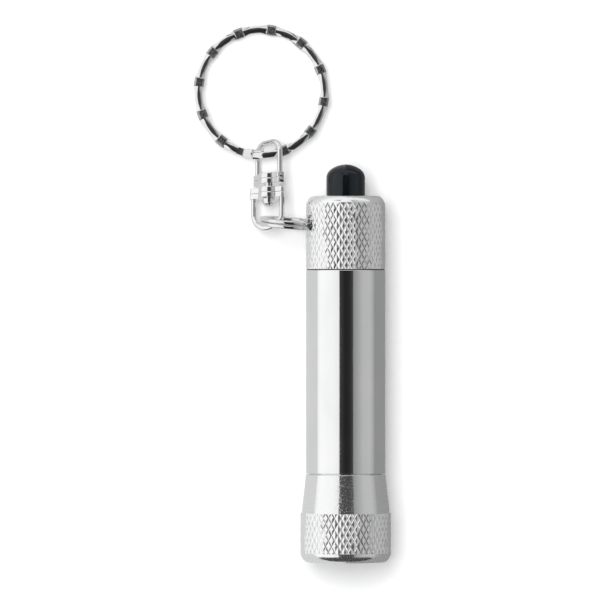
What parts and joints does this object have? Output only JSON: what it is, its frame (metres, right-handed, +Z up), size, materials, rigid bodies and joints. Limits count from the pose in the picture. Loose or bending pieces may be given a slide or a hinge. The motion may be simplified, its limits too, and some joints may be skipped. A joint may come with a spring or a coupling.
{
  "type": "keychain flashlight",
  "caption": "Small round metal flashlight with knurled head and tail cap, a tail push button, and a swivel link to a split key ring.",
  "frame": {"origin": "under the middle of the whole object's box, on the surface that the torch lies on", "axes": "+Y along the torch towards the push button and the key ring, -Y out of the lens, +Z up, +X away from the key ring"},
  "size_m": [0.0362, 0.0988, 0.0166],
  "materials": {
    "polished_body": "polished bright",
    "knurled_body": "bright, diamond knurled",
    "chromed_wire": "polished bright plating",
    "ring_plating": "polished bright plating on spring steel",
    "spring_steel": "drawn wire",
    "contact_brass": "turned",
    "black_button": "moulded gloss black",
    "white_plastic": "moulded",
    "lens_glass": "clear",
    "reflector_mirror": "mirror coating on moulded plastic",
    "led_epoxy": "clear epoxy over a yellow phosphor",
    "board_green": "solder mask",
    "component_black": "moulded component body",
    "seal_rubber": "matte",
    "cell_jacket": "plain jacket without any print"
  },
  "bodies": {
    "barrel": {"barrel_tube": "polished_body", "head_o_ring": "seal_rubber", "tail_o_ring": "seal_rubber", "aaa_cell": "cell_jacket"},
    "led_module": {"led": "led_epoxy", "led_board": "board_green", "led_contact": "contact_brass", "driver_chip": "component_black", "driver_inductor": "component_black"},
    "head": {"head_shell": "knurled_body", "lens_window": "lens_glass", "lens_gasket": "seal_rubber", "reflector": "reflector_mirror"},
    "switch_module": {"switch_body": "white_plastic", "switch_contact": "contact_brass", "tail_spring": "spring_steel", "button_spring": "spring_steel"},
    "cap": {"tail_cap": "knurled_body", "switch_retainer": "contact_brass"},
    "button": {"push_button": "black_button", "switch_plunger": "white_plastic"},
    "lug_ring": {"small_split_ring": "ring_plating"},
    "lower_link": {"swivel_lower_loop": "chromed_wire"},
    "upper_link": {"swivel_upper_loop": "chromed_wire", "swivel_rivet": "chromed_wire"},
    "key_ring": {"key_ring": "ring_plating"}
  },
  "joints": [
    {"name": "head_travel", "type": "slide", "parent": "barrel", "child": "led_module", "axis": [0, -1, 0], "range_m": [0, 0.003]},
    {"name": "head_turn", "type": "hinge", "parent": "led_module", "child": "head", "pos_m": [0.00984, -0.04138, 0.0083], "axis": [0, -1, 0], "range_deg": [0, 1440]},
    {"name": "cap_travel", "type": "slide", "parent": "barrel", "child": "switch_module", "axis": [0, 1, 0], "range_m": [0, 0.003], "deforming": ["tail_spring"]},
    {"name": "cap_turn", "type": "hinge", "parent": "switch_module", "child": "cap", "pos_m": [0.00984, 0.01201, 0.0083], "axis": [0, 1, 0], "range_deg": [0, 1440]},
    {"name": "button_press", "type": "slide", "parent": "cap", "child": "button", "axis": [0, -1, 0], "range_m": [0, 0.0012], "stiffness_N_per_m": 800, "deforming": ["button_spring"]},
    {"name": "lug_ring_swing", "type": "hinge", "parent": "cap", "child": "lug_ring", "pos_m": [0.00294, 0.01237, 0.0083], "axis": [0, 0, 1], "range_deg": [-8, 18]},
    {"name": "link_swing", "type": "hinge", "parent": "lug_ring", "child": "lower_link", "pos_m": [-0.00426, 0.01185, 0.00545], "axis": [0.8796, 0.0867, 0.4677], "range_deg": [-30, 45]},
    {"name": "swivel_spin", "type": "hinge", "parent": "lower_link", "child": "upper_link", "pos_m": [-0.00426, 0.01185, 0.00545], "axis": [0, 0.9833, -0.1822], "continuous": true},
    {"name": "key_ring_swing", "type": "hinge", "parent": "upper_link", "child": "key_ring", "pos_m": [-0.00426, 0.02537, 0.00294], "axis": [0.993, 0.118, -0.0102], "range_deg": [-90, 90]}
  ],
  "couplings": [
    {"joint": "head_turn", "follows": "head_travel", "rad_per_m": 8377},
    {"joint": "cap_turn", "follows": "cap_travel", "rad_per_m": 8377}
  ]
}
